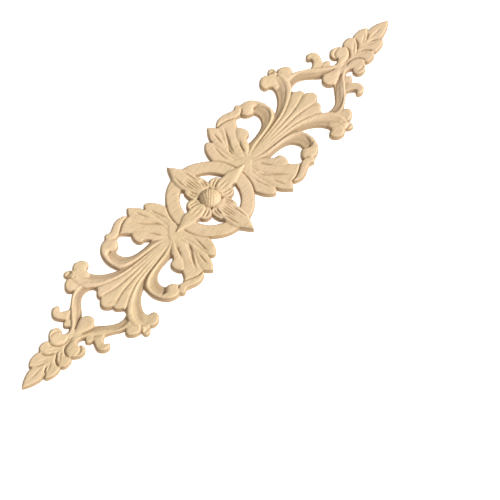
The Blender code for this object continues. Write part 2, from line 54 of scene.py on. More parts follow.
# Outline of one quarter, as strokes that meet at corners; each stroke is a smooth curve through its points
OUTLINE = (
    ((0, 49.2), (3, 45), (5.9, 40), (6.6, 38.6)),
    ((6.6, 38.6), (15, 36.2), (22, 32.4), (28, 27.4), (30.8, 24.3)),
    ((30.8, 24.3), (31.9, 27.8), (33.4, 32), (36.4, 36.8), (40.5, 39.7), (43.6, 38.9), (45.8, 36.4)),
    ((45.8, 36.4), (46.8, 39.6), (50, 44.4), (54.4, 48.9)),
    ((54.4, 48.9), (57.2, 46.6), (60.4, 42.2)),
    ((60.4, 42.2), (61.6, 44.6), (64.5, 46.4), (69, 47.4), (74, 46.8), (79, 44.9), (83.5, 43.3),
     (87.4, 44.8)),
    ((87.4, 44.8), (89.6, 44.2), (91.6, 42)),
    ((91.6, 42), (96, 41.6), (101.5, 39), (105.4, 34), (107.6, 28), (108, 22.5), (107, 17.4),
     (106.2, 13.8)),
    ((106.2, 13.8), (110, 15.7), (115, 18.8), (120, 23.2), (123.6, 28), (124.9, 32), (123.6, 34.6),
     (121, 35)),
    ((121, 35), (118.8, 37.2), (118.9, 41.2), (121.8, 44.7), (126.4, 46.3), (130.6, 45.3), (132.8, 43.4)),
    ((132.8, 43.4), (134.4, 45.6), (137, 47.2), (140, 47.2), (141.8, 45.4), (141.6, 42.8), (141, 40.6)),
    ((141, 40.6), (144.4, 40.7), (148.2, 39.2), (151.4, 35.9), (151.9, 32.8), (150.4, 30.4), (148.6, 29.2)),
    ((148.6, 29.2), (152, 27.5), (156, 25), (160, 22.4), (164.6, 20.1)),
    ((164.6, 20.1), (167.6, 21.5), (169.9, 23.6), (170.4, 25.8), (168.3, 27)),
    ((168.3, 27), (168.1, 28.9), (169.8, 30.7), (172.9, 31.3), (176.8, 29.6), (179.3, 26), (179, 22),
     (176.8, 18.2),
     (175.4, 15.9)),
    ((175.4, 15.9), (178.3, 15.1), (180.2, 13), (179.6, 11), (177.8, 9.3)),
    ((177.8, 9.3), (179.2, 7.4), (182, 6.5), (184.6, 7), (186.6, 8.6)),
    ((186.6, 8.6), (184.6, 10.6), (183.9, 13.4), (185.6, 16.7), (190, 18.5), (194.6, 17.2),
     (198, 14.4), (199.8, 12)),
    ((199.8, 12), (201, 14.4), (204.5, 15.4), (208.6, 15.3), (211.2, 14.2), (212.7, 11.8)),
    ((212.7, 11.8), (214.6, 13), (219, 13.3), (224, 12.7), (228, 10.9), (229.6, 8.8), (228.6, 7)),
    ((228.6, 7), (233, 7), (238, 5.8), (243, 3.9), (247, 1.7), (249, 0)),
    ((249, 0), (249, -5)),
    ((249, -5), (-4, -5)),
    ((-4, -5), (-4, 43.6)),
    ((-4, 43.6), (0, 49.2)),
)
HOLES = (
    (
        ((10.4, 24.3), (15, 21.7), (19.5, 17.8), (23, 13), (25.3, 7.8), (25.7, 6.1)),
        ((25.7, 6.1), (23.5, 6.2), (21.6, 6.6)),
        ((21.6, 6.6), (21, 9), (18.8, 11.4), (15.5, 12.4), (12.8, 12.2), (11.4, 11.4)),
        ((11.4, 11.4), (12, 14.5), (11.7, 18), (10.8, 20.6), (9.4, 21.8)),
        ((9.4, 21.8), (9.6, 23.2), (10.4, 24.3)),
    ),
    (
        ((66, 11.9), (67.6, 14), (70, 15.6), (73.4, 16.3), (75.4, 19), (75.6, 22.5), (74.6, 26),
         (72.8, 28.4)),
        ((72.8, 28.4), (75, 31.8), (78, 35)),
        ((78, 35), (81, 35.7), (84.2, 34.6)),
        ((84.2, 34.6), (86, 31.2), (89.5, 28.5), (93.8, 27.4)),
        ((93.8, 27.4), (94.4, 23.5), (92.8, 19.2), (89, 15.4), (83, 13), (76, 11.9), (70, 11.5),
         (66, 11.9)),
    ),
    (
        ((144.8, -4), (144.8, 0), (144.2, 2.4), (142, 5), (138.8, 6.9)),
        ((138.8, 6.9), (139.2, 9.4), (137.8, 12.2), (134.2, 14.8)),
        ((134.2, 14.8), (134.4, 17.4), (136, 19.6), (139.5, 20.8), (144, 20.9), (148.8, 19.3),
         (153.6, 15.5),
         (158.5, 10.7), (162.9, 6.3)),
        ((162.9, 6.3), (160, 4.8), (158, 2.2), (157.7, 0), (157.7, -4)),
        ((157.7, -4), (144.8, -4)),
    ),
)
BASE_HEIGHT = 3.2

# Medallion
RING_OUTER = 39.2
RING_INNER = 26.4
RING_HEIGHT = 4.8
DOME_RADIUS = 9.4
DOME_CENTRE = 4.6
DOME_TOP = 10.2

# Leaf-like pieces: outline, the point where it starts, the point where it ends, height at each, and doming
LONG_PETAL = (
    ((0, 49.4), (3.1, 45), (6, 40), (8.3, 34), (9.3, 28), (9.2, 23), (8.4, 17), (6, 10), (0, 6), (-6, 10),
     (-8.4, 17), (-9.2, 23), (-9.3, 28), (-8.3, 34), (-6, 40), (-3.1, 45)),
    (0, 10), (0, 49), 6.4, 6.6, 2.1, 4.6,
)
SHORT_PETAL = (
    ((45.4, 0), (40, 1.8), (35, 3.7), (30, 5.2), (25, 6.1), (20, 6.3), (14, 5), (8, 0), (14, -5),
     (20, -6.3),
     (25, -6.1), (30, -5.2), (35, -3.7), (40, -1.8)),
    (10, 0), (45, 0), 6.2, 6.0, 1.1, 3.6,
)
LONG_PETAL_LOBE = (
    ((3, 8), (8, 8.6), (11.5, 11.4), (12.4, 14.5), (12, 18.4), (10.8, 21), (8.8, 22), (6, 19), (4, 13)),
    (6, 10), (11, 20), 5.6, 5.8, 0.9, 2.6,
)
SHORT_PETAL_LOBE = (
    ((8, 3), (8.6, 8), (11.4, 11.4), (14.6, 12.8), (18.8, 11.9), (21.4, 9.2), (21.9, 6.4), (19, 4),
     (13, 3)),
    (10, 6), (20, 9), 5.4, 5.6, 0.9, 2.8,
)
LEAF_ROOT = (((34, -3), (34, 4), (38, 9), (46, 8), (53, 2), (53, -3)), (38, 0), (52, 0), 4.3, 4.7, 0.2, 2)
LEAF_FIRST_LOBE = (
    ((40, 0), (37, 10), (33, 19), (30.4, 24.4), (31.6, 28), (33.2, 32.2), (36.2, 37), (40.5, 40),
     (43.8, 39.1),
     (45.6, 36.4), (45, 30), (44.6, 22), (45.4, 12), (47, 2)),
    (43, 6), (39.5, 38), 4.3, 5.3, 1.1, 4.5,
)
LEAF_POINTED_LOBE = (
    ((47, 2), (45.4, 12), (44.9, 22), (45.2, 31), (46, 36.4), (46.4, 39.6), (49.8, 44.6), (54.4, 49.4),
     (57.6, 46.6), (60.6, 42.2), (58.4, 36), (54, 29), (50.2, 21.5), (48.6, 12), (49.4, 3)),
    (48, 8), (54, 46), 4.4, 5.4, 1.0, 4.2,
)
LEAF_BODY = (
    ((49.4, 3), (48.6, 12), (50.2, 21.5), (54, 29), (58.4, 36), (60.6, 42.6), (65, 43), (71, 41.4),
     (77, 39),
     (80, 36.6), (78, 35), (75, 31.8), (72.6, 28.2), (68, 26.4), (62, 19.6), (57, 10.6), (52.6, 2)),
    (51, 6), (72, 37), 4.5, 5.3, 1.0, 4.5,
)
LEAF_CURL = (
    ((50.5, 0), (56, 3.4), (61, 7.3), (66, 11.8), (67.8, 14), (70, 15.4), (73.6, 16), (75.8, 19),
     (76, 22.6),
     (75, 26.2), (72.8, 28.6), (69, 27.6), (64, 22.3), (59, 14), (54, 5.6)),
    (54, 4), (73, 24), 4.6, 5.6, 1.0, 4.2,
)
LEAF_FOLD = (
    ((59.8, 41.6), (61.4, 44.8), (64.5, 46.8), (69, 47.8), (74, 47.2), (79, 45.2), (83.5, 43.7),
     (87.4, 45.3),
     (90, 44.4), (91.8, 41.8), (89.6, 38.8), (86.4, 36.8), (82, 36), (77.6, 37.6), (72, 40.4), (66, 42.2)),
    (61, 43), (86, 40), 5.3, 6.0, 1.1, 2.9,
)
ARM_TIP_LOBE = (
    ((136, 37), (132, 42.6), (133.4, 45.4), (136.8, 47.7), (140.4, 47.6), (142.4, 45.4), (141.8, 42),
     (140, 38.6)),
    (138, 38), (138, 47), 4.8, 3.5, 0.2, 2,
)
ARM_SIDE_LOBE = (
    ((138, 28), (139.4, 34), (140.4, 40.4), (144.6, 41.1), (148.6, 39.6), (151.8, 36.1), (152.4, 32.6),
     (150.6, 30), (146.6, 28.4), (142, 26)),
    (140, 29), (148, 36), 4.6, 5.6, 1.3, 4,
)
HOOK = (
    ((164.6, 17), (164, 20), (167.2, 22), (169.7, 23.9), (169.9, 25.4), (167.8, 26.7), (167.7, 29.1),
     (169.6, 31.1),
     (172.9, 31.7), (177, 30), (179.7, 26.1), (179.4, 21.8), (177, 17.6), (174, 13)),
    (171, 15), (173, 29), 4.2, 5.6, 1.4, 4.2,
)
SPUR = (
    ((171, 12), (174, 15.6), (178.4, 15.5), (180.6, 13), (180, 10.6), (176.6, 8.4)),
    (174, 11), (179, 13), 4, 4.4, 0.8, 2.4,
)
BUD = (
    ((183, -0.8), (183, 0.8), (175, 3.3), (169, 5.7), (163, 6.8), (159.6, 5), (157.4, 2.2),
     (157.2, 0), (157.4, -2.2),
     (159.6, -5), (163, -6.8), (169, -5.7), (175, -3.3)),
    (182, 0), (160, 0), 4.4, 5.8, 1.3, 4.5,
)
PALMETTE_MIDDLE = (
    ((52, 0), (80, 1.2), (100, 2), (116, 2.8), (128, 4.1), (135, 5.8), (138.9, 7.2), (142.4, 5.4),
     (144.8, 2.6),
     (145.2, 0), (144.8, -2.6), (142.4, -5.4), (138.9, -7.2), (135, -5.8), (128, -4.1), (116, -2.8),
     (100, -2),
     (80, -1.2)),
    (60, 0), (140, 0), 4.4, 5.6, 0.9, 4,
)
PALMETTE_SIDE = (
    ((52, 0.4), (80, 1.4), (100, 2.2), (116, 3), (128, 4.3), (135, 6), (138.9, 7), (139.7, 9.6),
     (138, 12.6),
     (134, 15.3), (130, 14.8), (124, 12), (117, 9), (108, 6.6), (95, 5), (80, 4), (62, 2.6)),
    (60, 1), (136, 10), 4.3, 5.4, 0.7, 3.2,
)
END_SCROLL = (
    ((180, 0), (188, 1.4), (194, 2.4), (198.4, 5), (200.8, 9), (200.6, 12), (198.4, 15),
     (194.8, 17.8), (190, 19),
     (185.4, 17.2), (183.3, 13.6), (184.2, 10.4), (187, 8.6), (184.4, 6.6), (180, 5.6), (176, 4)),
    (182, 3), (197, 12), 4.4, 5.4, 0.9, 4,
)
END_THIRD = (
    ((194, -1), (199.4, 4.2), (201.3, 8.4), (200.4, 12), (201, 14.8), (204.6, 15.9), (208.8, 15.8),
     (211.7, 14.5),
     (213.2, 11.6), (211.6, 7.4), (207.8, 3.4), (203, 0.6), (199, -1)),
    (199, 1), (211, 12), 4.2, 5.3, 0.8, 3.4,
)
END_SECOND = (
    ((204, -1), (209.4, 2.8), (212.8, 7), (213.6, 11.4), (215, 13.6), (219.4, 13.8), (224.4, 13.2),
     (228.6, 11.2),
     (230.2, 8.6), (228.4, 6.2), (223.5, 4.2), (217.6, 2.2), (212, -1)),
    (208, 1), (227, 9), 4.1, 5.1, 0.8, 3.4,
)
END_TIP = (
    ((212, 0), (219, 2.7), (225, 4.7), (229, 7), (233, 7.5), (238.4, 6.2), (243.4, 4.2), (247.2, 1.9),
     (249.8, 0),
     (247.2, -1.9), (243.4, -4.2), (238.4, -6.2), (233, -7.5), (229, -7), (225, -4.7), (219, -2.7)),
    (216, 0), (246, 0), 4.4, 4.4, 1.1, 4.5,
)

# Stems, which are bands along their middle lines
SCROLL_STEM = (
    (52, 2.2, 1.2, 1.2, 4.6), (60, 6, 2, 2, 4.5), (67, 8.6, 3, 3, 4.4), (76, 9.6, 2.6, 2.6, 4.4),
    (86, 11.2, 3, 3, 4.4),
    (92.5, 13.6, 4, 4, 4.4), (97.3, 16, 5.4, 5.4, 4.4), (100.5, 20.2, 7.2, 7, 4.4),
    (101.1, 24.7, 7.4, 7.2, 4.4),
    (100.4, 29.5, 7, 7, 4.4),
)
SCROLL_EYE = (
    (54, 2.2, 0.8, 0.8, 4.6), (66, 6.2, 1, 1, 4.8), (78, 7.8, 1.1, 1.1, 4.9), (89, 9.4, 1.2, 1.3, 5),
    (97, 11.6, 1.4, 1.5, 5.1), (103, 15.4, 1.7, 1.8, 5.2), (106, 20.6, 2, 2.2, 5.3),
    (105.8, 27, 2.4, 2.5, 5.5),
    (103.2, 32.6, 3.2, 3.3, 5.7), (98.2, 36.2, 5, 5, 6.1), (91.8, 35.4, 6.6, 6.7, 6.3),
)
ARM = (
    (62, 3.4, 1, 1, 4.4), (85, 6.4, 1.3, 1.3, 4.4), (98, 8.4, 2.4, 2.4, 4.3), (109, 11.6, 3.9, 3.9, 4.3),
    (116.8, 15.4, 4.3, 4.2, 4.3), (123.5, 20.1, 5, 5, 4.3), (128.4, 25.4, 5.8, 5.8, 4.4),
    (131, 30.8, 6.6, 6.4, 4.5),
    (130.7, 36, 7.4, 7, 4.7), (128.6, 40.5, 6, 6, 4.9),
)
ARM_ROLL = (
    ((125.4, 30), (125.4, 33.4), (122.6, 35.2), (120.2, 35.6), (118.2, 38), (118.6, 41.8), (121.6, 45.3),
     (126.4, 46.9), (131, 45.8), (133.4, 43), (135.6, 38), (134, 32), (130, 28)),
    (129, 30), (124.5, 43), 4.2, 5.6, 1.5, 4.2,
)
ARM_RIDGE = (
    (84, 4.8, 0.8, 0.8, 4.6), (98, 6.4, 1.1, 1.1, 4.8), (109, 8.6, 1.5, 1.5, 5), (118, 11.6, 1.8, 1.8, 5.1),
    (126, 15.6, 2.1, 2.1, 5.2), (132.4, 20.2, 2.4, 2.4, 5.3), (136.8, 25.2, 2.6, 2.6, 5.4),
    (139, 31, 2.5, 2.4, 5.4),
    (139.2, 36.4, 2, 2, 5.3), (137.6, 41, 1.2, 1.2, 5),
)
THIN_STEM = (
    (137, 23.6, 3.4, 3.4, 4.7), (143.5, 25.2, 4.4, 4.6, 4.9), (150.3, 23.5, 4.9, 5, 5),
    (156, 19.5, 5, 5, 5),
    (161.6, 13.9, 5, 5, 5), (166.5, 10.2, 4.8, 4.8, 4.9), (172, 6.2, 3.8, 3.8, 4.8),
    (178, 3.6, 2.8, 2.8, 4.7),
    (186, 1.4, 1.4, 1.4, 4.6),
)

# Cross sections, from the right edge to the left: (place across, part of the rise)
ROUND = (
    (-1, 0), (-0.92, 0.4), (-0.7, 0.76), (-0.35, 0.95), (0, 1), (0.35, 0.95), (0.7, 0.76), (0.92, 0.4),
    (1, 0),
)
SWEEP_LEFT = (
    (-1, 0.2), (-0.85, 0.8), (-0.65, 1), (-0.45, 0.85), (-0.2, 0.3), (0.1, -0.1), (0.5, -0.2), (0.82, 0),
    (0.93, 0.15), (1, 0),
)
SWEEP_RIGHT = tuple((-place, part) for place, part in reversed(SWEEP_LEFT))
TILT = ((-1, 1.1), (-0.7, 1), (-0.2, 0.62), (0.3, 0.2), (0.65, 0), (0.82, 0.1), (0.93, 0.4), (1, 0.25))

# How steeply an element's side falls where it lies over another
SIDE_SLOPE = 2.2
RIM = 1.7
RIM_DROP = 1.2

# Painted shade on the rim and at the foot of the walls: how much darker they are, as if they lay this much
# deeper
RIM_PAINTED_SHADE = 0.35
WALL_FOOT_PAINTED_SHADE = 0.75

# How much darker the stems' concave faces are, in the same measure: partly the end grain's own darker colour
# and partly painted shade
FACE_END_GRAIN_AND_SHADE = 0.62
# Painted shade along the outer edge: how much darker, in the same measure, and over what width
EDGE_PAINTED_SHADE = 0.85
EDGE_SHADE_WIDTH = 1.5


def smooth_rows(stations, steps):
    """Rows of a smooth curve through the stations, with the widths and the height carried along it."""
    rows = np.array(stations, float)
    padded = np.vstack([2 * rows[0] - rows[1], rows, 2 * rows[-1] - rows[-2]])
    found = []
    for k in range(len(rows) - 1):
        a, b, c, d = padded[k : k + 4]
        for t in np.arange(steps) / steps:
            cubic = (2 * a - 5 * b + 4 * c - d) * t**2 + (3 * b - 3 * c + d - a) * t**3
            found.append(b + 0.5 * ((c - a) * t + cubic))
    found.append(rows[-1])
    return np.array(found)


def stroke_line(strokes, steps):
    """The closed line along the strokes, each a smooth curve between two corners."""
    return np.vstack([smooth_rows(stroke, steps)[:-1] for stroke in strokes])


def smooth_loop(outline, steps, outset):
    """A smooth closed curve through the outline's points, moved outwards by the outset."""
    points = np.array(outline, float)
    around = np.vstack([points[-1], points, points[:2]])
    found = []
    for k in range(len(points)):
        a, b, c, d = around[k : k + 4]
        for t in np.arange(steps) / steps:
            cubic = (2 * a - 5 * b + 4 * c - d) * t**2 + (3 * b - 3 * c + d - a) * t**3
            found.append(b + 0.5 * ((c - a) * t + cubic))
    points = np.array(found)
    along = np.roll(points, -1, axis=0) - np.roll(points, 1, axis=0)
    along /= np.linalg.norm(along, axis=1)[:, None]
    area = points[:, 0] @ np.roll(points[:, 1], -1) - points[:, 1] @ np.roll(points[:, 0], -1)
    return points + math.copysign(outset, area) * np.column_stack([along[:, 1], -along[:, 0]])


def depth_inside(points, px, py):
    """The distance from each place to the closed line, above nought inside it and below nought outside."""
    away = np.full(px.shape, 1e9)
    within = np.zeros(px.shape, bool)
    for a, b in zip(points, np.roll(points, -1, axis=0)):
        d = b - a
        if d @ d < 1e-12:
            continue
        t = np.clip(((px - a[0]) * d[0] + (py - a[1]) * d[1]) / (d @ d), 0, 1)
        away = np.minimum(away, np.hypot(px - a[0] - t * d[0], py - a[1] - t * d[1]))
        crosses = (a[1] > py) != (b[1] > py)
        slope = d[0] / d[1] if d[1] else 0.0
        within ^= crosses & (px < a[0] + (py - a[1]) * slope)
    return np.where(within, away, -away)


def lobe_height(shape, inside, px, py):
    """The top of a leaf-like piece: sloping from its root to its lead, and falling towards its edge."""
    _, root, lead, low, high, drop, edge = shape
    dx, dy = lead[0] - root[0], lead[1] - root[1]
    t = np.clip(((px - root[0]) * dx + (py - root[1]) * dy) / (dx * dx + dy * dy), 0, 1)
    rim = np.clip(1 - inside / edge, 0, 1)
    return low + (high - low) * t - drop * (1 - np.sqrt(1 - rim**2))


def band_rows(stations, rise, cap):
    """Rows of (x, y, left, right, wall height, rise) along an element, with its round end."""
    rows = smooth_rows(stations, 8)
    rows = np.column_stack([rows[:, :4], rows[:, 4] - rise, np.full(len(rows), rise)])
    if cap:
        along = rows[-1, :2] - rows[-2, :2]
        along /= np.linalg.norm(along)
        added = []
        for angle in np.radians(np.arange(10, 90, 8)):
            row = rows[-1].copy()
            row[:2] += along * cap * math.sin(angle)
            row[2:4] *= math.cos(angle)
            row[5] *= math.cos(angle)
            added.append(row)
        rows = np.vstack([rows, added])
    return rows


def profile(section, q):
    """The part of the rise at each place q across, on a smooth curve through the section's points."""
    table = smooth_rows(section, 6)
    return np.interp(q, table[:, 0], table[:, 1])


class Relief:
    """Inside-ness and height on the grid of one quarter."""

    def __init__(self):
        self.x = np.arange(0, HALF_X, GRID)
        self.y = np.arange(0, HALF_Y, GRID)
        self.px, self.py = np.meshgrid(self.x, self.y, indexing="ij")
        self.inside = depth_inside(stroke_line(OUTLINE, 4), self.px, self.py)
        for hole in HOLES:
            self.inside = np.minimum(self.inside, -depth_inside(stroke_line(hole, 4), self.px, self.py))
        self.height = np.full(self.px.shape, BASE_HEIGHT)
        self.tone = np.zeros(self.px.shape)

    def window(self, low_x, high_x, low_y, high_y):
        i = slice(max(0, int(low_x / GRID) - 1), max(0, int(high_x / GRID) + 2))
        j = slice(max(0, int(low_y / GRID) - 1), max(0, int(high_y / GRID) + 2))
        return i, j

    def put(self, where, inside, height, tone=0.0):
        reach = np.where(inside < 0, height + inside * SIDE_SLOPE, height)
        shown = (reach > self.height[where]) | ((inside > 0) & (self.height[where] <= BASE_HEIGHT))
        self.tone[where] = np.where(shown, tone, self.tone[where])
        self.height[where] = np.maximum(self.height[where], reach)

    def nearest(self, rows, where):
        """Signed offset from the rows' middle line, place along it and overshoot, at each grid point."""
        px, py = self.px[where], self.py[where]
        best = np.full(px.shape, 1e9)
        offset = np.zeros(px.shape)
        place = np.zeros(px.shape)
        over = np.zeros(px.shape)
        last = len(rows) - 2
        for k in range(len(rows) - 1):
            ax, ay = rows[k, :2]
            dx, dy = rows[k + 1, :2] - rows[k, :2]
            length = math.hypot(dx, dy)
            if length < 1e-9:
                continue
            t = ((px - ax) * dx + (py - ay) * dy) / length**2
            c = np.clip(t, 0, 1)
            away = np.hypot(px - ax - c * dx, py - ay - c * dy)
            nearer = away < best - 1e-9
            side = ((py - ay) * dx - (px - ax) * dy) / length
            beyond = np.zeros(px.shape)
            if k == 0:
                beyond = np.maximum(beyond, -t * length)
            if k == last:
                beyond = np.maximum(beyond, (t - 1) * length)
            signed = np.where(beyond > 0, side, np.sign(side) * away)
            best = np.where(nearer, away, best)
            offset = np.where(nearer, signed, offset)
            place = np.where(nearer, k + c, place)
            over = np.where(nearer, beyond, over)
        return offset, place, over

    def band(self, stations, rise, section, cap=0.0, darkened_face_side=0):
        """A stem. Its concave face, painted darker as shade and as darker end grain, is on its left side at
        1, on its right side at -1, and it has none at 0.
        """
        rows = band_rows(stations, rise, cap)
        widest = rows[:, 2:4].max() + 4
        where = self.window(
            rows[:, 0].min() - widest, rows[:, 0].max() + widest,
            rows[:, 1].min() - widest, rows[:, 1].max() + widest,
        )
        offset, place, over = self.nearest(rows, where)
        steps = np.arange(len(rows))
        left = np.interp(place, steps, rows[:, 2])
        right = np.interp(place, steps, rows[:, 3])
        width = np.maximum(np.where(offset > 0, left, right), 1e-3)
        wall = np.interp(place, steps, rows[:, 4])
        here = np.interp(place, steps, rows[:, 5])
        inside = np.minimum(width - np.abs(offset), np.where(over > 0, -over, 9.0))
        q = np.clip(offset / width, -1, 1)
        # Painted shade, with darker end grain, across the concave face
        tone = FACE_END_GRAIN_AND_SHADE * abs(darkened_face_side) * np.clip((darkened_face_side * q + 0.5) / 0.6, 0, 1)
        self.put(where, inside, wall + here * profile(section, q), tone)

    def lobe(self, shape):
        points = smooth_loop(shape[0], 4, 0.3)
        where = self.window(
            points[:, 0].min() - 3, points[:, 0].max() + 3, points[:, 1].min() - 3, points[:, 1].max() + 3,
        )
        px, py = self.px[where], self.py[where]
        inside = depth_inside(points, px, py)
        self.put(where, inside, lobe_height(shape, inside, px, py))

    def cut(self, points, depth, width, taper=0.3, section=1.0):
        """A carved line: deepest in its middle, and fading out over its first and last part."""
        rows = smooth_rows([(*p[:2],) for p in points], 6)
        where = self.window(
            rows[:, 0].min() - width, rows[:, 0].max() + width,
            rows[:, 1].min() - width, rows[:, 1].max() + width,
        )
        offset, place, over = self.nearest(rows, where)
        along = place / (len(rows) - 1)
        fade = np.clip(np.minimum(along, 1 - along) / max(taper, 1e-3), 0, 1) if taper else 1.0
        away = np.hypot(offset, over)
        shape = np.clip(1 - away / width, 0, 1) ** section
        self.height[where] -= depth * fade * shape


def medallion(relief):
    radius = np.hypot(relief.px, relief.py)
    everywhere = (slice(None), slice(None))
    inside = np.minimum(RING_OUTER - radius, radius - RING_INNER)
    middle = (RING_OUTER + RING_INNER) / 2
    across = np.abs(radius - middle) / (RING_OUTER - middle)
    relief.put(everywhere, inside, RING_HEIGHT - 0.5 * np.clip(across, 0, 1) ** 4)
    for shape in (SHORT_PETAL_LOBE, LONG_PETAL_LOBE, SHORT_PETAL, LONG_PETAL):
        relief.lobe(shape)


# The crosshatching on the dome, and its fade towards the dome's foot
HATCH_PITCH = 2.2
HATCH_TURN = 38
HATCH_DEPTH = 0.75
HATCH_FADE = 1.5


def medallion_cuts(relief):
    relief.cut(((1.0, 12), (1.1, 17), (1.1, 24), (0.9, 30)), 1.1, 1.1, 0.3)
    relief.cut(((3.0, 12), (3.5, 17), (3.6, 23), (3.3, 29)), 1.1, 1.2, 0.3)
    relief.cut(((5.2, 17), (5.6, 24), (5.4, 31), (4.4, 38)), 1.3, 1.4, 0.3)
    relief.cut(((4.6, 10.4), (6.0, 14), (6.9, 18.5)), 1.3, 1.2, 0.25)
    relief.cut(((6.8, 9.6), (8.6, 13), (9.4, 18.4)), 1.3, 1.2, 0.25)
    relief.cut(((9.8, 6.2), (13.5, 8.2), (18.4, 9.2)), 1.2, 1.2, 0.25)
    relief.cut(((10.4, 4.2), (15, 5.8), (20.2, 6.6)), 1.2, 1.2, 0.25)
    relief.cut(((11.5, 1.2), (18, 1.8), (25, 1.4)), 0.8, 1.3, 0.35)
    relief.cut(((29.4, 26), (34.4, 19.3), (37.3, 13), (38.9, 6.4), (39.3, 2.6)), 1.1, 1.1, 0.1)
    radius = np.hypot(relief.px, relief.py)
    reach = np.sqrt(np.clip(1 - (radius / DOME_RADIUS) ** 2, 0, 1))
    ball = DOME_CENTRE + (DOME_TOP - DOME_CENTRE) * reach
    turn = math.radians(HATCH_TURN)
    u = relief.px * math.cos(turn) + relief.py * math.sin(turn)
    v = -relief.px * math.sin(turn) + relief.py * math.cos(turn)
    hatch = np.maximum(np.cos(2 * math.pi * u / HATCH_PITCH), np.cos(2 * math.pi * v / HATCH_PITCH))
    fade = np.clip((DOME_RADIUS - radius) / HATCH_FADE, 0, 1)
    ball -= HATCH_DEPTH * np.clip(hatch, 0, 1) ** 2 * fade
    everywhere = (slice(None), slice(None))
    relief.put(everywhere, DOME_RADIUS - radius, ball)


# Where the stems' root is smoothed: up to these places along and across, and by how much at most
MELT_END = 100
MELT_LENGTH = 45
MELT_SIDE = 15
MELT_SHARE = 0.7


def soften_root(relief):
    """The stems and flutes melt together towards their common root."""
    smooth = blurred(unfolded(relief.height), 2)
    nx, ny = relief.height.shape
    smooth = smooth[-nx:, -ny:]
    share = MELT_SHARE * np.clip((MELT_END - relief.px) / MELT_LENGTH, 0, 1)
    share *= np.clip(relief.inside / 3, 0, 1)
    share *= np.clip((MELT_SIDE - relief.py) / 4, 0, 1)
    relief.height += share * (smooth - relief.height)


def acanthus_leaf(relief):
    for shape in (LEAF_ROOT, LEAF_FIRST_LOBE, LEAF_POINTED_LOBE, LEAF_CURL, LEAF_BODY, LEAF_FOLD):
        relief.lobe(shape)


def leaf_cuts(relief):
    relief.cut(((40.4, 12), (40.8, 20.3), (42.4, 27.8), (42.8, 33)), 1.2, 1.2)
    relief.cut(((50, 27), (51.2, 32), (52.4, 36.4), (53.6, 41)), 1.2, 1.2)
    relief.cut(((46.5, 12.5), (49.2, 18.4), (52.5, 22.8), (59.2, 30.3), (64.6, 38)), 1.5, 1.3, 0.25)
    relief.cut(((49.6, 14.4), (52, 19.6), (55, 23.7), (60.4, 30)), 1.3, 1.2, 0.25)
    relief.cut(((56.4, 7.6), (57.8, 11), (60, 15.3), (64, 20.4)), 1.2, 1.2)
    fold = ((60.6, 42), (62.4, 42.2), (66, 42), (71, 40.6), (76.3, 38), (81, 36.1), (86, 36.1), (90, 38.8))
    relief.cut(fold, 1.3, 1.2, 0.08)


def c_scroll(relief):
    relief.band(SCROLL_STEM, 1.5, TILT, darkened_face_side=1)
    relief.band(SCROLL_EYE, 1.7, ROUND, cap=6.4)


def large_arm(relief):
    relief.band(ARM, 1.6, TILT, darkened_face_side=1)
    relief.lobe(ARM_ROLL)
    relief.band(ARM_RIDGE, 1.1, ROUND)
    relief.lobe(ARM_TIP_LOBE)
    relief.lobe(ARM_SIDE_LOBE)


def thin_stem(relief):
    relief.band(THIN_STEM, 1.3, SWEEP_RIGHT, darkened_face_side=-1)
    for shape in (SPUR, HOOK, BUD):
        relief.lobe(shape)


def palmette(relief):
    relief.lobe(PALMETTE_SIDE)
    relief.lobe(PALMETTE_MIDDLE)


def end_leaf(relief):
    for shape in (END_TIP, END_SECOND, END_THIRD, END_SCROLL):
        relief.lobe(shape)


def stem_cuts(relief):
    relief.cut(((93, 29.2), (96.7, 31), (100.8, 31.4), (103.8, 29.7)), 1.2, 1.2, 0.2)
    relief.cut(((60, 4.2), (72, 6), (84, 7.4), (94, 9.2), (102, 12)), 0.5, 1.1)
    relief.cut(((58, 2.6), (75, 3.6), (92, 5), (106, 6.6), (114.7, 9), (125.5, 13), (133, 15)), 0.5, 1.2)
    relief.cut(((80, 1), (100, 1.8), (117.5, 2.8), (126, 4.5), (133, 6.4), (137.6, 7.8)), 0.7, 1.2, 0.2)
    relief.cut(((133.4, 44.4), (137.2, 43.4), (141, 43.4)), 0.9, 1.3, 0.1)
    relief.cut(((136, 37), (139, 38.4), (141.4, 41)), 0.9, 1.2, 0.1)
    relief.cut(((143.3, 25), (150.8, 24.6), (159.2, 19.8), (167.5, 12.2), (175, 6.4)), 0.7, 1.1)
    relief.cut(((152, 17.8), (158, 12.6), (164, 8.2), (172, 5), (180, 2.6)), 0.7, 1.1)


def end_cuts(relief):
    relief.cut(((196.4, 13.4), (193, 14.6), (188.8, 13.5), (187.1, 11.4), (185.6, 9.4)), 1.05, 1.3, 0.2)
    under_scroll = ((184, 2.6), (190, 1.6), (196.3, 3), (199.3, 5.4), (200.9, 8.4), (200.5, 12.4))
    relief.cut(under_scroll, 1.05, 1.3, 0.12)
    relief.cut(((199.6, 1.2), (203, 3.2), (206.6, 5.6), (209.9, 8.4)), 0.8, 1.1, 0.25)
    relief.cut(((205.5, 1.8), (209.9, 4), (212, 6.4), (213.3, 10.2)), 1.05, 1.3, 0.12)
    relief.cut(((212.9, 1.6), (218.5, 4.2), (224, 6.8)), 0.8, 1.1, 0.25)
    relief.cut(((219.4, 1.4), (223.3, 3.5), (226.4, 6.2), (228.8, 7.8)), 1.05, 1.3, 0.12)
    relief.cut(((222, 0), (230, 0), (240, 0)), 0.6, 1.2)


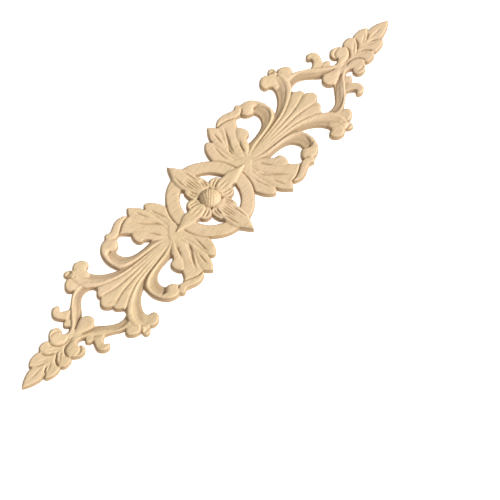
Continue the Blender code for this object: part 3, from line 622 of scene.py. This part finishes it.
def carve():
    relief = Relief()
    palmette(relief)
    large_arm(relief)
    c_scroll(relief)
    thin_stem(relief)
    end_leaf(relief)
    stem_cuts(relief)
    end_cuts(relief)
    soften_root(relief)
    acanthus_leaf(relief)
    leaf_cuts(relief)
    medallion(relief)
    medallion_cuts(relief)
    rim = np.clip(1 - relief.inside / RIM, 0, 1)
    relief.height -= RIM_DROP * rim**2.2
    return relief


def unfolded(quarter):
    """The whole field from one quarter."""
    half = np.concatenate([quarter[:0:-1], quarter], axis=0)
    return np.concatenate([half[:, :0:-1], half], axis=1)


def blurred(field, reach):
    """Each value averaged with its neighbours, with bell-shaped weights."""
    places = np.arange(-3 * reach, 3 * reach + 1)
    weights = np.exp(-0.5 * (places / reach) ** 2)
    weights /= weights.sum()
    rows = np.apply_along_axis(np.convolve, 0, field, weights, mode="same")
    return np.apply_along_axis(np.convolve, 1, rows, weights, mode="same")


# Points of the outline, between two grid points: how far along they may lie, how much lower they are than the
# grid point beside them, and their lowest height
CROSSING_MIN = 0.12
CROSSING_MAX = 0.97
OUTLINE_FALL = 0.25
LOWEST_TOP = 1.5

# Faces that meet at more than this many degrees have a sharp edge between them
SHARP = 52


def relief_mesh(relief):
    """The closed mesh: the carved top, upright walls down to the floor, and the flat back."""
    inside = unfolded(relief.inside)
    height = unfolded(relief.height)
    nx, ny = inside.shape
    xs = (np.arange(nx) - (nx - 1) // 2) * GRID
    ys = (np.arange(ny) - (ny - 1) // 2) * GRID
    solid = (inside > 0).astype(float)
    spread = np.maximum(blurred(solid, 3), 1e-3)
    # Painted shade: each point is darkened by how far it lies below the blurred heights around it, so
    # recesses and creases come out darker. The stems' concave faces (partly darker end grain) and the outer
    # edge are darkened as well.
    shade_and_end_grain = (blurred(height * solid, 3) / spread - height) * solid
    shade_and_end_grain += blurred(unfolded(relief.tone), 1) + EDGE_PAINTED_SHADE * np.clip(1 - inside / EDGE_SHADE_WIDTH, 0, 1)

    number = np.full((nx, ny), -1)
    number[inside > 0] = np.arange(int(solid.sum()))
    ix, iy = np.nonzero(inside > 0)
    points = [(xs[i], ys[j], height[i, j]) for i, j in zip(ix, iy)]
    point_shade_and_end_grain = list(shade_and_end_grain[ix, iy])
    faces = []

    full = (number[:-1, :-1] >= 0) & (number[1:, :-1] >= 0) & (number[1:, 1:] >= 0) & (number[:-1, 1:] >= 0)
    for i, j in zip(*np.nonzero(full)):
        faces.append((number[i, j], number[i + 1, j], number[i + 1, j + 1], number[i, j + 1]))

    some = (number[:-1, :-1] >= 0) | (number[1:, :-1] >= 0) | (number[1:, 1:] >= 0) | (number[:-1, 1:] >= 0)
    crossings = {}
    rim_edges = []
    for i, j in zip(*np.nonzero(some & ~full)):
        corners = ((i, j), (i + 1, j), (i + 1, j + 1), (i, j + 1))
        outline = []
        rims = []
        for a, b in zip(corners, corners[1:] + corners[:1]):
            if number[a] >= 0:
                outline.append(number[a])
            if (number[a] >= 0) == (number[b] >= 0):
                continue
            kept, gone = (a, b) if number[a] >= 0 else (b, a)
            if (kept, gone) not in crossings:
                t = inside[kept] / (inside[kept] - inside[gone])
                t = min(max(t, CROSSING_MIN), CROSSING_MAX)
                crossings[kept, gone] = len(points)
                x = xs[kept[0]] + t * (xs[gone[0]] - xs[kept[0]])
                y = ys[kept[1]] + t * (ys[gone[1]] - ys[kept[1]])
                points.append((x, y, max(height[kept] - OUTLINE_FALL, LOWEST_TOP)))
                # Painted shade on the rim points
                point_shade_and_end_grain.append(shade_and_end_grain[kept] + RIM_PAINTED_SHADE)
            outline.append(crossings[kept, gone])
            rims.append((crossings[kept, gone], number[a] >= 0))
        faces.append(tuple(outline))
        for k, (vertex, leaving) in enumerate(rims):
            if leaving:
                rim_edges.append((vertex, rims[(k + 1) % len(rims)][0]))

    foot = {}
    for a, b in rim_edges:
        for vertex in (a, b):
            if vertex not in foot:
                foot[vertex] = len(points)
                points.append((points[vertex][0], points[vertex][1], 0.0))
                # Painted shade at the foot of the walls
                point_shade_and_end_grain.append(point_shade_and_end_grain[vertex] + WALL_FOOT_PAINTED_SHADE)
    for a, b in rim_edges:
        faces.append((b, a, foot[a], foot[b]))

    base = list(foot.values())
    order = {vertex: k for k, vertex in enumerate(base)}
    flat = [Vector(points[vertex][:2]) for vertex in base]
    edges = [(order[foot[a]], order[foot[b]]) for a, b in rim_edges]
    made, _, triangles, originals, _, _ = delaunay_2d_cdt(flat, edges, [], 1, 1e-7)
    names = [base[o[0]] if o else -1 for o in originals]
    for triangle in triangles:
        centre = sum((made[k] for k in triangle), Vector((0, 0))) / len(triangle)
        i = (centre.x - xs[0]) / GRID
        j = (centre.y - ys[0]) / GRID
        i0, j0 = int(i), int(j)
        u, v = i - i0, j - j0
        here = (inside[i0, j0] * (1 - u) + inside[i0 + 1, j0] * u) * (1 - v)
        here += (inside[i0, j0 + 1] * (1 - u) + inside[i0 + 1, j0 + 1] * u) * v
        if here > 0:
            faces.append(tuple(names[k] for k in reversed(triangle)))

    mesh = bpy.data.meshes.new("applique_carving")
    mesh.from_pydata([(x * UNIT, y * UNIT, z * UNIT) for x, y, z in points], [], faces)
    mesh.validate()
    shade = mesh.attributes.new("shade_and_end_grain", "FLOAT", "POINT")
    shade.data.foreach_set("value", np.array(point_shade_and_end_grain, np.float32))
    mesh.shade_smooth()
    mesh.set_sharp_from_angle(angle=math.radians(SHARP))
    return mesh


def node(tree, kind, inputs=(), **settings):
    made = tree.nodes.new(kind)
    for name, value in settings.items():
        setattr(made, name, value)
    for name, value in inputs:
        if isinstance(value, bpy.types.NodeSocket):
            tree.links.new(value, made.inputs[name])
        else:
            made.inputs[name].default_value = value
    return made


# Colours of the wood, and the brown mixed in as painted shade in recesses and at edges, and as painted shade
# with darker end grain on the stems' concave faces
GRAIN_DARK = (0.70, 0.51, 0.285, 1)
GRAIN_PALE = (0.81, 0.62, 0.38, 1)
ROSY_PATCH = (0.79, 0.58, 0.375, 1)
SHADE_AND_END_GRAIN_BROWN = (0.37, 0.24, 0.13, 1)


def stretched_noise(tree, where, stretch, scale, detail, roughness):
    """Noise that runs with the grain, along the length of the wood."""
    along = node(tree, "ShaderNodeMapping", [("Vector", where), ("Scale", stretch)]).outputs[0]
    inputs = [("Vector", along), ("Scale", scale), ("Detail", detail), ("Roughness", roughness)]
    return node(tree, "ShaderNodeTexNoise", inputs).outputs["Fac"]


def remapped(tree, value, low, high, new_low=0.0, new_high=1.0):
    """The value, with the range from low to high laid onto the new range."""
    ends = [("From Min", low), ("From Max", high), ("To Min", new_low), ("To Max", new_high)]
    return node(tree, "ShaderNodeMapRange", [("Value", value), *ends]).outputs[0]


def mixed(tree, share, first, second, blend="MIX"):
    inputs = [(0, share), (6, first), (7, second)]
    return node(tree, "ShaderNodeMix", inputs, data_type="RGBA", blend_type=blend).outputs[2]


def bare_wood():
    """Pale, sanded, unvarnished wood: long fine grain, short pores, and brown painted in as shade in recesses
    and at edges, with darker end grain on the stems' concave faces.
    """
    material = bpy.data.materials.new("bare_pale_wood")
    material.use_nodes = True
    tree = material.node_tree
    shader = tree.nodes["Principled BSDF"]
    shader.inputs["Roughness"].default_value = 0.62
    shader.inputs["Specular IOR Level"].default_value = 0.3
    where = node(tree, "ShaderNodeTexCoord").outputs["Object"]
    grain = stretched_noise(tree, where, (13, 250, 95), 1.6, 5, 0.6)
    patch = stretched_noise(tree, where, (6, 22, 14), 1.3, 2, 0.5)
    pores = stretched_noise(tree, where, (150, 1100, 700), 1, 3, 0.6)

    pale = node(tree, "ShaderNodeValToRGB", [("Fac", grain)])
    pale.color_ramp.elements[0].position = 0.3
    pale.color_ramp.elements[0].color = GRAIN_DARK
    pale.color_ramp.elements[1].position = 0.72
    pale.color_ramp.elements[1].color = GRAIN_PALE
    toned = mixed(tree, remapped(tree, patch, 0.4, 0.7), pale.outputs[0], ROSY_PATCH)
    specked = mixed(tree, 1.0, toned, remapped(tree, pores, 0.25, 0.5, 0.72, 1.02), "MULTIPLY")
    # Painted shade: the colour is mixed towards brown by each point's amount of shade, and of end grain on
    # the stems' faces
    shade_and_end_grain = node(tree, "ShaderNodeAttribute", attribute_name="shade_and_end_grain").outputs["Fac"]
    dark = mixed(tree, remapped(tree, shade_and_end_grain, 0.06, 1.05, 0.0, 0.8), specked, SHADE_AND_END_GRAIN_BROWN)
    tree.links.new(dark, shader.inputs["Base Color"])
    bump = node(tree, "ShaderNodeBump", [("Height", pores), ("Strength", 0.12), ("Distance", 0.0004)])
    tree.links.new(bump.outputs[0], shader.inputs["Normal"])
    return material


def floor():
    mesh = bpy.data.meshes.new("floor")
    mesh.from_pydata([(-3, -3, -2e-4), (3, -3, -2e-4), (3, 3, -2e-4), (-3, 3, -2e-4)], [], [(0, 1, 2, 3)])
    plane = bpy.data.objects.new("floor", mesh)
    bpy.context.scene.collection.objects.link(plane)
    material = bpy.data.materials.new("white_floor")
    material.use_nodes = True
    shader = material.node_tree.nodes["Principled BSDF"]
    shader.inputs["Base Color"].default_value = (0.93, 0.93, 0.93, 1)
    shader.inputs["Roughness"].default_value = 0.9
    shader.inputs["Specular IOR Level"].default_value = 0.0
    shader.inputs["Emission Color"].default_value = (1, 1, 1, 1)
    shader.inputs["Emission Strength"].default_value = 0.8
    plane.data.materials.append(material)


# The photograph's camera: the turn that takes the camera's axes to the applique's, and where it looks
ROTATION = (-0.506724, 0.28027, 0.850965)
PIXELS_PER_MM = 1.14994
LENS = 326.311
CENTRE_SHIFT = (34.7184, -42.3819)


def camera_axes():
    """The camera's right, up and backward directions, in the applique's frame."""
    turn = Vector(ROTATION)
    angle = turn.length
    k = turn.normalized()
    cross = np.array([[0, -k.z, k.y], [k.z, 0, -k.x], [-k.y, k.x, 0]])
    return np.eye(3) + math.sin(angle) * cross + (1 - math.cos(angle)) * cross @ cross


def camera():
    axes = camera_axes()
    width_mm = 500 / PIXELS_PER_MM
    distance = LENS / 36 * width_mm
    place = axes.T @ np.array([CENTRE_SHIFT[0], CENTRE_SHIFT[1], distance]) / 1000
    lens = bpy.data.cameras.new("camera")
    lens.lens = LENS
    lens.clip_end = 100
    seen = bpy.data.objects.new("camera", lens)
    matrix = Matrix(axes.T.tolist()).to_4x4()
    matrix.translation = Vector(place)
    seen.matrix_world = matrix
    bpy.context.scene.collection.objects.link(seen)
    bpy.context.scene.camera = seen


def lights():
    """A key light low from the applique's -Y side and a weak fill from above, in the applique's own frame."""
    world = bpy.data.worlds.new("world")
    bpy.context.scene.world = world
    world.use_nodes = True
    back = world.node_tree.nodes["Background"]
    back.inputs["Color"].default_value = (1, 0.99, 0.98, 1)
    back.inputs["Strength"].default_value = 0.36
    for name, toward, strength, angle in (
        ("key", (0.5, -0.78, 0.66), 3.6, 8),
        ("fill", (-0.1, 0.1, 1.0), 0.12, 50),
    ):
        sun = bpy.data.lights.new(name, "SUN")
        sun.energy = strength
        sun.angle = math.radians(angle)
        lamp = bpy.data.objects.new(name, sun)
        direction = Vector(toward).normalized()
        lamp.rotation_euler = direction.to_track_quat("Z", "Y").to_euler()
        lamp.location = direction * 3
        bpy.context.scene.collection.objects.link(lamp)
    bpy.context.scene.view_settings.view_transform = "Standard"


relief = carve()
carving = bpy.data.objects.new("applique_carving", relief_mesh(relief))
bpy.context.scene.collection.objects.link(carving)
carving.data.materials.append(bare_wood())
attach(carving, "root")
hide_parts("carved_applique")
floor()
camera()
lights()
